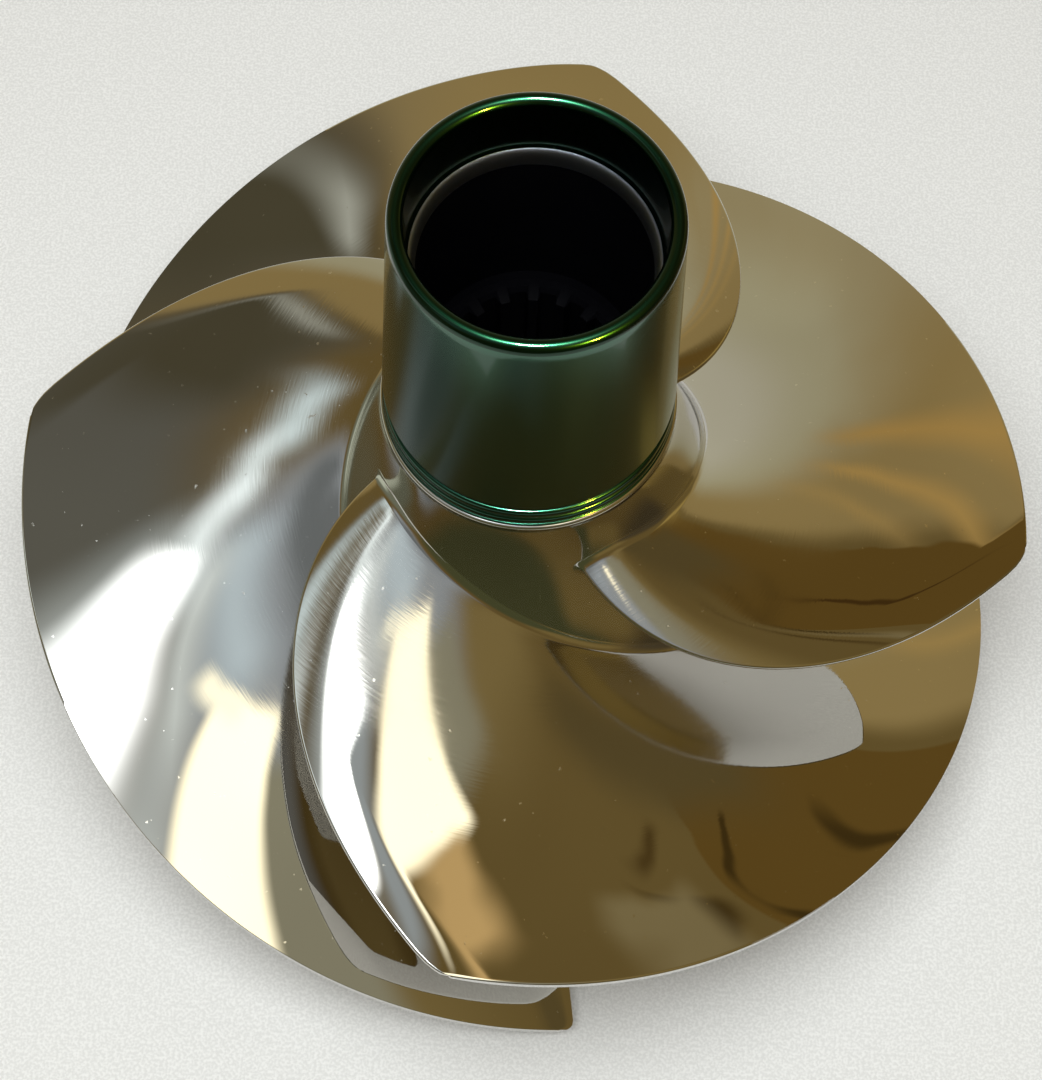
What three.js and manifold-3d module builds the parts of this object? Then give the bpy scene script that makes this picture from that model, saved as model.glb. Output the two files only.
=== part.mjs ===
// A four-blade impeller for a personal watercraft: a polished stainless casting with a green sleeve.
// Millimetres, +Z towards the intake. The rear face of the hub is at Z 0 and the shaft axis is the Z axis.
// Angles run counter-clockwise from +X, seen from the intake side.

import * as THREE from "three";
import { mergeVertices } from "three/addons/utils/BufferGeometryUtils.js";
import Module from "manifold-3d";

// Driving dimensions of the whole impeller.
const BLADE_COUNT = 4;
const TIP_RADIUS = 77.5;
const CORNER_Z = 42.2;
const FIRST_CORNER = THREE.MathUtils.degToRad(-6.6);
const TOUCH_GAP = 0.3;

// The blade tip runs down a helix that steepens towards the rear, from the pitch at its front corner.
const TIP_WRAP = THREE.MathUtils.degToRad(105.3);
const TIP_FALL = [14.4, 4.66, -0.42];

// The leading edge sweeps back from the corner of the tip to the nose on the hub.
const NOSE_RADIUS = 22.3;
const EDGE_SWEEP = [-0.91, -0.742, 0.593];
const EDGE_RISE = [12.5, 6.1, -0.95];

// The root leaves the nose almost level and then winds down the hub.
const ROOT_FALL = [1.45, 7.8, -0.62];

// Blade thickness: full at the root, thinner at the tip, and eased at both edges.
const ROOT_THICKNESS = 3.2;
const TIP_THICKNESS = 1.7;
const EDGE_SHARE = 0.5;
const EASED_CHORD = 0.14;
const CHORD_STEPS = 30;
const SPAN_STEPS = 8;
const ROOT_SINK = 0.09;
const SLOPE_STEP = 0.004;

// The hub swells from the collar under the sleeve to its open rear rim: radius at height.
const COLLAR_Z = 72;
const COLLAR_RADIUS = 21.1;
const REAR_RADIUS = 45.5;
const HUB_LINE = [
  [REAR_RADIUS, 0],
  [42.2, 11],
  [37.8, 22],
  [32.6, 34],
  [28.7, 44],
  [25.4, 53],
  [22.3, 61.5],
  [COLLAR_RADIUS, COLLAR_Z],
];
const HUB_LINE_STEPS = 18;
const HUB_SIDES = 56;

// The neck of the hub stands up inside the sleeve and is bored for the shaft.
const RIM_Z = 119.2;
const NECK_DROP = 9.6;
const NECK_RADIUS = 16.1;
const NECK_BORE = 15.2;
const NECK_CHAMFER = 0.7;
const NECK_LIP_INSET = 0.35;
const SPLINE_TOP = 79;
const SPLINE_BOTTOM = 42;
const SPLINE_COUNT = 18;
const SPLINE_MINOR = 11.2;
const SPLINE_MAJOR = 12.6;
const GROOVE_MOUTH_SHARE = 0.27;
const GROOVE_ROOT_SHARE = 0.2;
const CUT_OVERRUN = 1;
const PILOT_BORE = 13.2;

// The rear of the casting is cored out around a central boss.
const BOSS_RADIUS = 19;
const BOSS_Z = 4;
const BOSS_CHAMFER = 1;
const CORE_WALL = 4.6;
const CORE_TOP = 34;
const CORE_FLAT = 6;
const CORE_FILLET = 2;

// The sleeve is a slightly tapered tube with a rolled rim and two fine grooves at its foot.
const SLEEVE_TOP_RADIUS = 18.5;
const SLEEVE_FOOT_RADIUS = 20.8;
const SLEEVE_BORE = NECK_RADIUS + TOUCH_GAP;
const RIM_ROUND = 1;
const GROOVE_DEPTH = 0.35;
const GROOVE_WIDTH = 0.5;
const GROOVE_STARTS = [0.5, 1.5];
const PLAIN_START = 2.25;
const RIM_STEPS = 6;
const SLEEVE_SIDES = 56;

// Points closer than this are one point.
const WELD_DISTANCE = 1e-4;

const wasm = await Module();
wasm.setup();

const STEEL = new THREE.MeshStandardMaterial({ color: 0xb9b2a0, roughness: 0.12, metalness: 1 });
const GREEN = new THREE.MeshStandardMaterial({ color: 0x1d3f2e, roughness: 0.2, metalness: 0.8 });

// Sums a power series without its constant term.
function series(terms, x) {
  let sum = 0;
  terms.forEach((term, power) => {
    sum += term * x ** (power + 1);
  });
  return sum;
}

// The outer line of the hub, as radius over height, from the rear rim to the collar.
const hubLine = new THREE.SplineCurve(HUB_LINE.map(([radius, height]) => new THREE.Vector2(radius, height)));
const hubPoints = hubLine.getPoints(HUB_LINE_STEPS);

// The hub radius at a height, read along the same straight steps that the casting has.
function hubRadius(z) {
  for (let step = 1; step < hubPoints.length; step += 1) {
    const low = hubPoints[step - 1];
    const high = hubPoints[step];
    if (z <= high.y) {
      const share = (z - low.y) / (high.y - low.y);
      return THREE.MathUtils.lerp(low.x, high.x, share);
    }
  }
  return COLLAR_RADIUS;
}

// The four border lines of a blade's middle surface, each giving radius, angle and height.
function tipLine(chord) {
  const angle = TIP_WRAP * chord;
  return [TIP_RADIUS, angle, CORNER_Z - series(TIP_FALL, angle)];
}

function leadingLine(span) {
  const inward = 1 - span;
  const radius = THREE.MathUtils.lerp(NOSE_RADIUS, TIP_RADIUS, span);
  return [radius, series(EDGE_SWEEP, inward), CORNER_Z + series(EDGE_RISE, inward)];
}

function rootLine(chord) {
  const nose = leadingLine(0);
  const angle = (TIP_WRAP - nose[1]) * chord;
  const height = nose[2] - series(ROOT_FALL, angle);
  return [hubRadius(height), nose[1] + angle, height];
}

function trailingLine(span) {
  const root = rootLine(1);
  const tip = tipLine(1);
  return root.map((value, axis) => THREE.MathUtils.lerp(value, tip[axis], span));
}

// Blends the four border lines into one smooth surface.
function bladePoint(chord, span) {
  const root = rootLine(chord);
  const tip = tipLine(chord);
  const front = leadingLine(span);
  const back = trailingLine(span);
  const corners = [rootLine(0), rootLine(1), tipLine(0), tipLine(1)];
  const [radius, angle, height] = root.map((value, axis) => {
    const across = THREE.MathUtils.lerp(value, tip[axis], span);
    const along = THREE.MathUtils.lerp(front[axis], back[axis], chord);
    const inner = THREE.MathUtils.lerp(corners[0][axis], corners[1][axis], chord);
    const outer = THREE.MathUtils.lerp(corners[2][axis], corners[3][axis], chord);
    return across + along - THREE.MathUtils.lerp(inner, outer, span);
  });
  return new THREE.Vector3(radius * Math.cos(angle), radius * Math.sin(angle), height);
}

function bladeNormal(chord, span) {
  const along = bladePoint(chord + SLOPE_STEP, span).sub(bladePoint(chord - SLOPE_STEP, span));
  const across = bladePoint(chord, span + SLOPE_STEP).sub(bladePoint(chord, span - SLOPE_STEP));
  return across.cross(along).normalize();
}

function bladeThickness(chord, span) {
  const full = THREE.MathUtils.lerp(ROOT_THICKNESS, TIP_THICKNESS, Math.max(span, 0));
  const inset = Math.min(chord, 1 - chord) / EASED_CHORD;
  const ease = THREE.MathUtils.smoothstep(inset, 0, 1);
  return full * THREE.MathUtils.lerp(EDGE_SHARE, 1, ease);
}

// A closed sheet with thickness. Its root reaches into the hub and is trimmed to the hub's surface later.
function bladeSheet() {
  const columns = SPAN_STEPS + 2;
  const positions = [];
  for (const side of [1, -1]) {
    for (let row = 0; row <= CHORD_STEPS; row += 1) {
      for (let column = 0; column < columns; column += 1) {
        const chord = row / CHORD_STEPS;
        const span = column === 0 ? -ROOT_SINK : (column - 1) / SPAN_STEPS;
        const offset = (side * bladeThickness(chord, span)) / 2;
        const point = bladePoint(chord, span).addScaledVector(bladeNormal(chord, span), offset);
        positions.push(point.x, point.y, point.z);
      }
    }
  }
  const layer = (CHORD_STEPS + 1) * columns;
  const faces = [];
  const quad = (a, b, c, d) => faces.push(a, b, c, a, c, d);
  const at = (row, column) => row * columns + column;
  for (let row = 0; row < CHORD_STEPS; row += 1) {
    for (let column = 0; column < columns - 1; column += 1) {
      const [a, b] = [at(row, column), at(row, column + 1)];
      const [c, d] = [at(row + 1, column + 1), at(row + 1, column)];
      quad(a, b, c, d);
      quad(layer + d, layer + c, layer + b, layer + a);
    }
    quad(at(row, 0), at(row + 1, 0), layer + at(row + 1, 0), layer + at(row, 0));
    const last = columns - 1;
    quad(at(row + 1, last), at(row, last), layer + at(row, last), layer + at(row + 1, last));
  }
  for (let column = 0; column < columns - 1; column += 1) {
    quad(at(0, column + 1), at(0, column), layer + at(0, column), layer + at(0, column + 1));
    const [a, b] = [at(CHORD_STEPS, column), at(CHORD_STEPS, column + 1)];
    quad(a, b, layer + b, layer + a);
  }
  const geometry = new THREE.BufferGeometry();
  geometry.setAttribute("position", new THREE.Float32BufferAttribute(positions, 3));
  geometry.setIndex(faces);
  return geometry;
}

// Turns a closed line of radius and height pairs into a solid of revolution around Z.
function turned(pairs, sides) {
  const outline = pairs.map(([radius, height]) => new THREE.Vector2(radius, height));
  outline.push(outline[0].clone());
  const geometry = new THREE.LatheGeometry(outline, sides);
  geometry.rotateX(Math.PI / 2);
  return geometry;
}

function solidOf(geometry) {
  const bare = geometry.clone();
  bare.deleteAttribute("normal");
  bare.deleteAttribute("uv");
  const merged = mergeVertices(bare, WELD_DISTANCE);
  const vertProperties = new Float32Array(merged.attributes.position.array);
  const triVerts = new Uint32Array(merged.index.array);
  return new wasm.Manifold(new wasm.Mesh({ numProp: 3, vertProperties, triVerts }));
}

function geometryOf(solid) {
  const mesh = solid.getMesh();
  const geometry = new THREE.BufferGeometry();
  geometry.setAttribute("position", new THREE.BufferAttribute(mesh.vertProperties, 3));
  geometry.setIndex(new THREE.BufferAttribute(mesh.triVerts, 1));
  geometry.computeVertexNormals();
  return geometry;
}

// The hub casting: outer line, neck, bore and the cored rear, all in one turned section.
function hubOutline() {
  const neckTop = RIM_Z - NECK_DROP;
  const outer = hubPoints.map((point) => [point.x, point.y]);
  const neck = [
    [NECK_RADIUS, COLLAR_Z],
    [NECK_RADIUS, neckTop - NECK_CHAMFER],
    [NECK_RADIUS - NECK_LIP_INSET, neckTop],
    [NECK_BORE, neckTop - NECK_CHAMFER],
    [NECK_BORE, SPLINE_TOP],
    [SPLINE_MINOR, SPLINE_TOP],
    [SPLINE_MINOR, SPLINE_BOTTOM],
    [PILOT_BORE, SPLINE_BOTTOM],
  ];
  const rear = [
    [PILOT_BORE, BOSS_Z],
    [BOSS_RADIUS - BOSS_CHAMFER, BOSS_Z],
    [BOSS_RADIUS, BOSS_Z + BOSS_CHAMFER],
    [BOSS_RADIUS, CORE_TOP - CORE_FILLET],
    [BOSS_RADIUS + CORE_FILLET, CORE_TOP],
    [BOSS_RADIUS + CORE_FLAT, CORE_TOP],
  ];
  const coreLine = hubPoints.filter((point) => point.y < CORE_TOP - CORE_WALL);
  const core = coreLine.reverse().map((point) => [point.x - CORE_WALL, point.y]);
  return [...outer, ...neck, ...rear, ...core];
}

// The internal grooves that take the drive shaft, cut as one star-shaped broach.
function splineBroach() {
  const star = new THREE.Shape();
  const pitch = (2 * Math.PI) / SPLINE_COUNT;
  const inner = SPLINE_MINOR - CUT_OVERRUN;
  const corners = [
    [inner, -GROOVE_MOUTH_SHARE],
    [SPLINE_MAJOR, -GROOVE_ROOT_SHARE],
    [SPLINE_MAJOR, GROOVE_ROOT_SHARE],
    [inner, GROOVE_MOUTH_SHARE],
  ];
  star.moveTo(inner * Math.cos(pitch / 2), -inner * Math.sin(pitch / 2));
  for (let groove = 0; groove < SPLINE_COUNT; groove += 1) {
    for (const [radius, share] of corners) {
      const angle = (groove + share) * pitch;
      star.lineTo(radius * Math.cos(angle), radius * Math.sin(angle));
    }
  }
  const length = SPLINE_TOP - SPLINE_BOTTOM + 2 * CUT_OVERRUN;
  const geometry = new THREE.ExtrudeGeometry(star, { depth: length, bevelEnabled: false });
  geometry.translate(0, 0, SPLINE_BOTTOM - CUT_OVERRUN);
  return geometry;
}

function sleeveOutline() {
  const foot = COLLAR_Z + TOUCH_GAP;
  const lean = (SLEEVE_FOOT_RADIUS - SLEEVE_TOP_RADIUS) / (RIM_Z - foot);
  const outer = (z) => SLEEVE_FOOT_RADIUS - (z - foot) * lean;
  const line = [[SLEEVE_FOOT_RADIUS - GROOVE_DEPTH, foot]];
  for (const height of GROOVE_STARTS) {
    const start = foot + height;
    line.push([outer(start) - GROOVE_DEPTH, start]);
    line.push([outer(start), start]);
    line.push([outer(start), start + GROOVE_WIDTH]);
    line.push([outer(start) - GROOVE_DEPTH, start + GROOVE_WIDTH]);
  }
  const above = foot + PLAIN_START;
  line.push([outer(above) - GROOVE_DEPTH, above]);
  line.push([outer(above), above]);
  const wall = (SLEEVE_TOP_RADIUS - SLEEVE_BORE) / 2;
  const centre = [SLEEVE_BORE + wall, RIM_Z - RIM_ROUND];
  for (let step = 0; step <= RIM_STEPS; step += 1) {
    const turn = (Math.PI * step) / RIM_STEPS;
    line.push([centre[0] + wall * Math.cos(turn), centre[1] + RIM_ROUND * Math.sin(turn)]);
  }
  line.push([SLEEVE_BORE, foot]);
  return line;
}

const impeller = new THREE.Group();

function addPiece(name, geometry, material) {
  const mesh = new THREE.Mesh(geometry, material.clone());
  mesh.name = name;
  impeller.add(mesh);
  return mesh;
}

const hub = solidOf(turned(hubOutline(), HUB_SIDES)).subtract(solidOf(splineBroach()));
addPiece("hub", geometryOf(hub), STEEL);
addPiece("hub_sleeve", turned(sleeveOutline(), SLEEVE_SIDES), GREEN);

// Each blade is cut off a fixed gap outside the hub, where the casting's fillet would begin.
const grownLine = hubPoints.map((point) => [point.x + TOUCH_GAP, point.y]);
const grownEnds = [
  [COLLAR_RADIUS + TOUCH_GAP, RIM_Z],
  [0, RIM_Z],
  [0, -CORNER_Z],
  [REAR_RADIUS + TOUCH_GAP, -CORNER_Z],
];
const bladeTrim = solidOf(turned([...grownLine, ...grownEnds], HUB_SIDES));
const blade = geometryOf(solidOf(bladeSheet()).subtract(bladeTrim));
for (let index = 0; index < BLADE_COUNT; index += 1) {
  const mesh = addPiece(`blade_${index + 1}`, blade, STEEL);
  mesh.rotation.z = FIRST_CORNER + (index * 2 * Math.PI) / BLADE_COUNT;
}

export default impeller;
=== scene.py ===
# %% [markdown]
# # A four-blade jet pump impeller
# The object is one polished stainless casting, a tapered hub with four helical blades,
# with a green anodised sleeve pressed over the neck of the hub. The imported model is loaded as
# a fixed frame first, in metres with +Z up, and every new piece is made in that same frame.

# %% Load the frame
import math

import bmesh
import bpy
import numpy as np
from mathutils import Matrix, Vector


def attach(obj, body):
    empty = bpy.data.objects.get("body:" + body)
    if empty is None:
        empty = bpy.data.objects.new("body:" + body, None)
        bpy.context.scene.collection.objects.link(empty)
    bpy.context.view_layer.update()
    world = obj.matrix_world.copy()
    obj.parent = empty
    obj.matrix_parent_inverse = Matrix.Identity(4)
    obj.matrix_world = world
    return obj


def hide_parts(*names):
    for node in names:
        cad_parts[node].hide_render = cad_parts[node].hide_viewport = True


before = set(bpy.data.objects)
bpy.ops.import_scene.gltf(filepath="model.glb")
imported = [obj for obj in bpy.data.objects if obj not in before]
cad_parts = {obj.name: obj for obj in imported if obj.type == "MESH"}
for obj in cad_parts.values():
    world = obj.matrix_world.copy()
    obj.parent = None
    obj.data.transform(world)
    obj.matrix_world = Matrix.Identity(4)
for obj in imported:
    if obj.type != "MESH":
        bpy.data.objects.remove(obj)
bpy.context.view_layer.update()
print("CAD nodes:", sorted(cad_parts))

# %% [markdown]
# ## Camera
# The photograph looks down at the impeller from 67 degrees above the floor and about 375 mm
# from its foot. The camera's place, tilt, roll and focal length come from a fit of the blade
# outlines, so the pieces below land where the real ones are in the picture.

# %% Set up the camera
IMAGE_LONG_SIDE = 1080
FOCAL_PIXELS = 2170.87
SENSOR_MM = 36.0
CAMERA_PLACE = (-0.00007, -0.13956, 0.34656)
CAMERA_ELEVATION = math.radians(66.96)
CAMERA_ROLL = math.radians(2.79)

camera_data = bpy.data.cameras.new("camera")
camera_data.sensor_width = SENSOR_MM
camera_data.lens = FOCAL_PIXELS / IMAGE_LONG_SIDE * SENSOR_MM
camera_data.clip_start = 0.01
camera = bpy.data.objects.new("camera", camera_data)
tilt = Matrix.Rotation(math.pi / 2 - CAMERA_ELEVATION, 4, "X")
roll = Matrix.Rotation(CAMERA_ROLL, 4, "Z")
camera.matrix_world = Matrix.Translation(CAMERA_PLACE) @ tilt @ roll
bpy.context.scene.collection.objects.link(camera)
bpy.context.scene.camera = camera
print("lens in mm:", round(camera_data.lens, 2))

# %% [markdown]
# ## Sizes and lines of the casting
# A blade's middle surface hangs between four border lines: the tip, a helix on the pump bore;
# the leading edge, swept back to a nose on the hub; the root, wound down the hub; and the
# trailing edge. The values are those of the CAD source, in millimetres and radians, and each
# line is a short power series, so the skin is as smooth as a polished casting has to be.

# %% Name the sizes
MM = 0.001
BLADE_COUNT = 4
TIP_RADIUS = 77.5
CORNER_Z = 42.2
FIRST_CORNER = math.radians(-6.6)
TIP_WRAP = math.radians(105.3)
TIP_FALL = (14.4, 4.66, -0.42)
NOSE_RADIUS = 22.3
EDGE_SWEEP = (-0.91, -0.742, 0.593)
EDGE_RISE = (12.5, 6.1, -0.95)
ROOT_FALL = (1.45, 7.8, -0.62)
ROOT_THICKNESS = 3.2
TIP_THICKNESS = 1.7
COLLAR_Z = 72.0
COLLAR_RADIUS = 21.1
HUB_LINE = [(45.5, 0), (42.2, 11), (37.8, 22), (32.6, 34), (28.7, 44), (25.4, 53), (22.3, 61.5),
            (21.1, 72)]
RIM_Z = 119.2


def series(terms, x):
    """Sums a power series without its constant term."""
    return sum(term * x ** (power + 1) for power, term in enumerate(terms))


def lerp(a, b, share):
    return a + (b - a) * share


print("the tips are", 2 * TIP_RADIUS, "mm across and the impeller is", RIM_Z, "mm tall")

# %% [markdown]
# The hub's outer line goes through the same measured points as the CAD solid. A polynomial
# through them has no kinks, which matters on mirror-bright metal, where any kink in the line
# would show as a break in the reflection.

# %% Fit the hub line
HUB_DEGREE = 5
HUB_CURVE = np.polyfit([z for _, z in HUB_LINE], [r for r, _ in HUB_LINE], HUB_DEGREE)


def hub_radius(z):
    return np.polyval(HUB_CURVE, np.clip(z, 0.0, COLLAR_Z))


worst = max(abs(hub_radius(z) - r) for r, z in HUB_LINE)
print("hub line is within", round(worst, 3), "mm of the measured points")

# %% [markdown]
# A point of the blade is given by two shares: chord runs from the leading edge at 0 to the
# trailing edge at 1, and span from the root at 0 to the tip at 1. The functions take whole
# arrays of them at once, which makes the thousands of points of the skin quick to work out.

# %% Define the blade's middle surface
def tip_line(chord):
    angle = TIP_WRAP * chord
    return np.stack([TIP_RADIUS + 0 * chord, angle, CORNER_Z - series(TIP_FALL, angle)])


def leading_line(span):
    inward = 1 - span
    return np.stack([lerp(NOSE_RADIUS, TIP_RADIUS, span), series(EDGE_SWEEP, inward),
                     CORNER_Z + series(EDGE_RISE, inward)])


def root_line(chord):
    _, nose_angle, nose_height = leading_line(0 * chord)
    angle = (TIP_WRAP - nose_angle) * chord
    height = nose_height - series(ROOT_FALL, angle)
    return np.stack([hub_radius(height), nose_angle + angle, height])


def trailing_line(span):
    return lerp(root_line(1 + 0 * span), tip_line(1 + 0 * span), span)


def blade_point(chord, span):
    """Blends the four border lines into one smooth surface. The last axis is x, y, z in mm."""
    across = lerp(root_line(chord), tip_line(chord), span)
    along = lerp(leading_line(span), trailing_line(span), chord)
    inner = lerp(root_line(0 * chord), root_line(1 + 0 * chord), chord)
    outer = lerp(tip_line(0 * chord), tip_line(1 + 0 * chord), chord)
    radius, angle, height = across + along - lerp(inner, outer, span)
    return np.stack([radius * np.cos(angle), radius * np.sin(angle), height], axis=-1)


def unit(vectors):
    return vectors / np.linalg.norm(vectors, axis=-1, keepdims=True)


nose = blade_point(np.array(0.0), np.array(0.0))
print("nose of a blade at", nose.round(1), "mm before it is turned into place")

# %% [markdown]
# ## A finishing helper
# Every piece ends the same way: doubles are merged, the normals are made to face outwards,
# the mesh is scaled to metres and shaded smooth, with a crease only where two faces meet at a
# clear angle. The object stays at the origin, unturned and unscaled.

# %% Turn a bmesh into a finished piece
CREASE = math.radians(34)
MERGE_DISTANCE = 1e-4


def finish_piece(shape, name, crease=CREASE):
    """Makes an object in metres of a shape in millimetres."""
    bmesh.ops.remove_doubles(shape, verts=shape.verts, dist=MERGE_DISTANCE)
    bmesh.ops.dissolve_degenerate(shape, edges=shape.edges, dist=MERGE_DISTANCE)
    bmesh.ops.recalc_face_normals(shape, faces=shape.faces)
    bmesh.ops.scale(shape, vec=(MM, MM, MM), verts=shape.verts)
    mesh = bpy.data.meshes.new(name)
    open_edges = sum(not edge.is_manifold for edge in shape.edges)
    triangles = sum(len(face.verts) - 2 for face in shape.faces)
    shape.to_mesh(mesh)
    shape.free()
    mesh.shade_smooth()
    mesh.set_sharp_from_angle(angle=crease)
    piece = bpy.data.objects.new(name, mesh)
    bpy.context.scene.collection.objects.link(piece)
    print(name, "has", triangles, "triangles and", open_edges, "open edges")
    return piece


# %% [markdown]
# ## The hub
# The hub was cast and then turned on a lathe, so its section is drawn once as radius and
# height pairs and spun round the axis. The section is one closed line: the tapered outside,
# the collar under the sleeve, the neck inside the sleeve, the bore, and the cored-out rear.

# %% Draw the hub's section
HUB_START = 0.6
HUB_STEPS = 64
REAR_ROUND = 0.5
COLLAR_ROUND = 0.7
COLLAR_EASE = 0.9
COLLAR_STEPS = 8
NECK_TOP = RIM_Z - 9.6
NECK_RADIUS = 16.1
NECK_BORE = 15.2
NECK_ROUND = 0.08
LIP_WIDTH = 0.8
LIP_DEPTH = 2.6
LIP_STEPS = 10
SPLINE_TOP = 79.0
SPLINE_BOTTOM = 42.0
SPLINE_COUNT = 18
SPLINE_MINOR = 11.2
SPLINE_MAJOR = 12.6
PILOT_BORE = 13.2
NECK_BEVEL = 0.8
BORE_BEVEL = 0.6
BOSS_RADIUS = 19.0
BOSS_Z = 4.0
BOSS_ROUND = 1.0
CORE_WALL = 4.6
CORE_TOP = 34.0
CORE_SHOULDER = 6.0
CORE_ROUND = 3.0
CORE_ROUND_STEPS = 6
CORE_STEPS = 20
WALL_END = 1.0
WALL_LEAN = 0.3
WALL_ROUND = 0.4
HAIR = 0.01


def rounded(corner, before, after, radius, steps=4):
    """Rounds a corner off. before and after only tell which way the line comes and goes."""
    corner, before, after = (np.array(p, float) for p in (corner, before, after))
    start = corner + unit(before - corner) * radius
    end = corner + unit(after - corner) * radius
    shares = [step / steps for step in range(steps + 1)]
    return [tuple((1 - t) ** 2 * start + 2 * t * (1 - t) * corner + t * t * end) for t in shares]


def hub_section():
    heights = np.linspace(HUB_START, COLLAR_Z - COLLAR_EASE, HUB_STEPS + 1)
    outside = [(hub_radius(z), z) for z in heights]
    rear = rounded((hub_radius(0), 0), (hub_radius(0) - 1, 0), (hub_radius(1), 1), REAR_ROUND)
    collar = rounded((COLLAR_RADIUS, COLLAR_Z), (COLLAR_RADIUS, COLLAR_Z - 1),
                     (NECK_RADIUS, COLLAR_Z), COLLAR_ROUND, COLLAR_STEPS)
    neck = [(NECK_RADIUS, COLLAR_Z)]
    neck += rounded((NECK_RADIUS, NECK_TOP), (NECK_RADIUS, COLLAR_Z), (NECK_BORE, NECK_TOP),
                    NECK_ROUND)
    for turn in np.linspace(0, math.pi / 2, LIP_STEPS + 1):
        radius = NECK_BORE + LIP_WIDTH * (1 - math.sin(turn))
        neck.append((radius, NECK_TOP - LIP_DEPTH * (1 - math.cos(turn))))
    neck += [(NECK_BORE, SPLINE_TOP + NECK_BEVEL), (NECK_BORE - NECK_BEVEL, SPLINE_TOP)]
    spline = [(PILOT_BORE, SPLINE_TOP), (SPLINE_MINOR, SPLINE_TOP - BORE_BEVEL)]
    spline += [(SPLINE_MINOR, SPLINE_BOTTOM), (PILOT_BORE, SPLINE_BOTTOM)]
    boss = [(PILOT_BORE, BOSS_Z + BORE_BEVEL), (PILOT_BORE + BORE_BEVEL, BOSS_Z)]
    boss += rounded((BOSS_RADIUS, BOSS_Z), (BOSS_RADIUS - 1, BOSS_Z), (BOSS_RADIUS, BOSS_Z + 1),
                    BOSS_ROUND)
    core = rounded((BOSS_RADIUS, CORE_TOP), (BOSS_RADIUS, CORE_TOP - 1),
                   (BOSS_RADIUS + 1, CORE_TOP), CORE_ROUND, CORE_ROUND_STEPS)
    wall = [(hub_radius(z) - CORE_WALL, z)
            for z in np.linspace(CORE_TOP - CORE_SHOULDER, WALL_END, CORE_STEPS + 1)]
    top = (wall[0][0] - CORE_ROUND / 2, CORE_TOP)
    roof = rounded(top, (BOSS_RADIUS, CORE_TOP), wall[0], CORE_ROUND, CORE_ROUND_STEPS)
    wall_foot = (wall[-1][0] + WALL_LEAN, 0)
    foot = rounded(wall_foot, wall[-1], (wall_foot[0] + 1, 0), WALL_ROUND)
    return outside + collar + neck + spline + boss + core + roof + wall + foot + rear[:-1]


section = [(float(r), float(z)) for r, z in hub_section()]
print("hub section has", len(section), "points, from z", min(z for _, z in section), "to",
      max(z for _, z in section))

# %% [markdown]
# Twelve steps to each of the eighteen drive splines make the spin, so the splines need no
# cutting: in the splined stretch of the bore every vertex that lies in a groove is pushed out
# to the root of the groove, and the flanks follow.

# %% Spin the hub and push out the spline grooves
def spun(pairs, segments, closed=True):
    """Spins a line of radius and height pairs, closed to a ring or open, round the shaft."""
    shape = bmesh.new()
    corners = [shape.verts.new((radius, 0, height)) for radius, height in pairs]
    ends = zip(corners, corners[1:] + corners[:1] if closed else corners[1:])
    edges = [shape.edges.new(pair) for pair in ends]
    bmesh.ops.spin(shape, geom=corners + edges, angle=2 * math.pi, steps=segments,
                   axis=(0, 0, 1), cent=(0, 0, 0), use_merge=True)
    return shape


HUB_SEGMENTS = 12 * SPLINE_COUNT
GROOVE_SHARE = 0.26
hub_shape = spun(section, HUB_SEGMENTS)
bore_verts = [v for v in hub_shape.verts if math.hypot(v.co.x, v.co.y) < SPLINE_MINOR + HAIR]
for vert in bore_verts:
    pitch_share = (math.atan2(vert.co.y, vert.co.x) / (2 * math.pi) * SPLINE_COUNT + 0.5) % 1
    if abs(pitch_share - 0.5) < GROOVE_SHARE:
        vert.co.xy *= SPLINE_MAJOR / SPLINE_MINOR
print("spline verts:", len(bore_verts))
hub = finish_piece(hub_shape, "hub_casting")

# %% [markdown]
# ## The blades
# On the real part a blade grows out of the hub with a small fillet all round its root, and
# its leading edge is rolled over by hand polishing. A boolean and a bevel would leave ragged
# triangles on that fillet, so the skin is made in one piece instead. A flat grid is rolled
# round the blade: its columns run round the blade's section and its rows run from inside the
# hub, over the fillet and up the span to the tip.

# %% Give the blade its thickness
EDGE_THICKNESS = 0.95
ROLL_WIDTH = 8.5
ROLL_POWER = 1.6
TRAIL_WIDTH = 6.0
ROOT_CHORD_LENGTH = 98.0
TIP_CHORD_LENGTH = 150.0
SPAN_LENGTH = 55.0
CORNER_ROUND = 2.4


def chord_length(span):
    return lerp(ROOT_CHORD_LENGTH, TIP_CHORD_LENGTH, span)


def half_thickness(chord, span):
    """Half the blade's thickness: full inside, and rolled down to thin edges."""
    full = lerp(ROOT_THICKNESS, TIP_THICKNESS, np.clip(span, 0, 1))
    lead = np.clip(1 - chord * chord_length(span) / ROLL_WIDTH, 0, 1) ** ROLL_POWER
    trail = np.clip(1 - (1 - chord) * chord_length(span) / TRAIL_WIDTH, 0, 1) ** ROLL_POWER
    return (full - (full - EDGE_THICKNESS) * np.maximum(lead, trail)) / 2


def corner_pull(span):
    """The share of the chord that a rounded tip corner is pulled back by."""
    reach = np.clip(1 - (1 - span) * SPAN_LENGTH / CORNER_ROUND, 0, 1)
    return CORNER_ROUND * (1 - np.sqrt(1 - reach ** 2)) / chord_length(span)


print("a blade is", 2 * half_thickness(0.5, 0.5), "mm thick in the middle")

# %% [markdown]
# The section is walked once round: along the upper side to the leading edge, round the nose,
# back along the lower side and round the trailing edge. Each stop has its chord share, its
# side from 1 above to -1 below, and how far it looks past the edge. The stops crowd towards
# the leading edge, where the skin curves most.

# %% Walk round the blade's section
CHORD_STEPS = 124
NOSE_STEPS = 6
CROWDING = 1.3


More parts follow.
